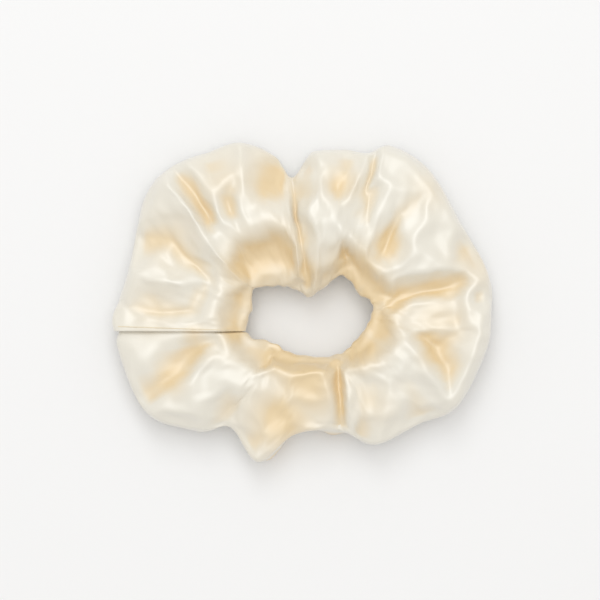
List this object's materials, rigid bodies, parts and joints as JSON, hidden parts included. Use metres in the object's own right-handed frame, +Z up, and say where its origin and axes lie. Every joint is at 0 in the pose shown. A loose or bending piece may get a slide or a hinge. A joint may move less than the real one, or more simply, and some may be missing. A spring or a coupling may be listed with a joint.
{
  "type": "scrunchie",
  "caption": "Gathered satin hair tie: a cloth tube over a closed elastic loop, which stretches to hold a ponytail or bun.",
  "frame": {"origin": "centre of the ring's footprint, on the surface that it rests on", "axes": "+Z up through the hair opening, +X along the ring's longer side, +Y to its back, the way that it is pulled open"},
  "size_m": [0.1102, 0.0928, 0.0199],
  "materials": {
    "satin": "cream polyester satin, soft sheen",
    "elastic": "off-white braided elastic, matt",
    "thread": "cream spun polyester sewing thread"
  },
  "bodies": {
    "front_half": {"cover_front_half": "satin", "elastic_band": "elastic", "elastic_tack_thread": "thread", "lengthwise_seam_thread": "thread"},
    "back_half": {"cover_back_half": "satin", "closing_seam_thread": "thread"}
  },
  "joints": [
    {"name": "stretch", "type": "slide", "parent": "front_half", "child": "back_half", "axis": [0, 1, 0], "range_m": [0, 0.06], "stiffness_N_per_m": 25, "deforming": ["elastic_band", "lengthwise_seam_thread"]}
  ]
}
